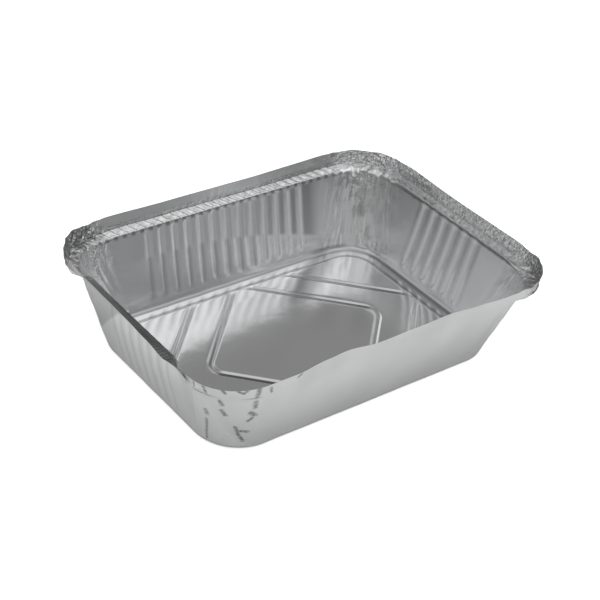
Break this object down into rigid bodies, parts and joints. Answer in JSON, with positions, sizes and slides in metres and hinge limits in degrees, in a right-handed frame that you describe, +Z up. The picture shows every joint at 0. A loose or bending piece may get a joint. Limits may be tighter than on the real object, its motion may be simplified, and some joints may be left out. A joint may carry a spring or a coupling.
{
  "type": "aluminium foil tray",
  "caption": "Rectangular foil food tray with an embossed floor, fluted tapered walls, gathered corners and a crimped rim with an upstanding lip.",
  "frame": {"origin": "middle of the underside, on the surface that the tray stands on", "axes": "+X along the length, +Y across the width, +Z up out of the open top"},
  "size_m": [0.22, 0.161, 0.054],
  "materials": {
    "foil": "bright rolled foil, softly mirrored, creased at the corners"
  },
  "bodies": {
    "root": {"foil_tray": "foil"}
  },
  "joints": []
}
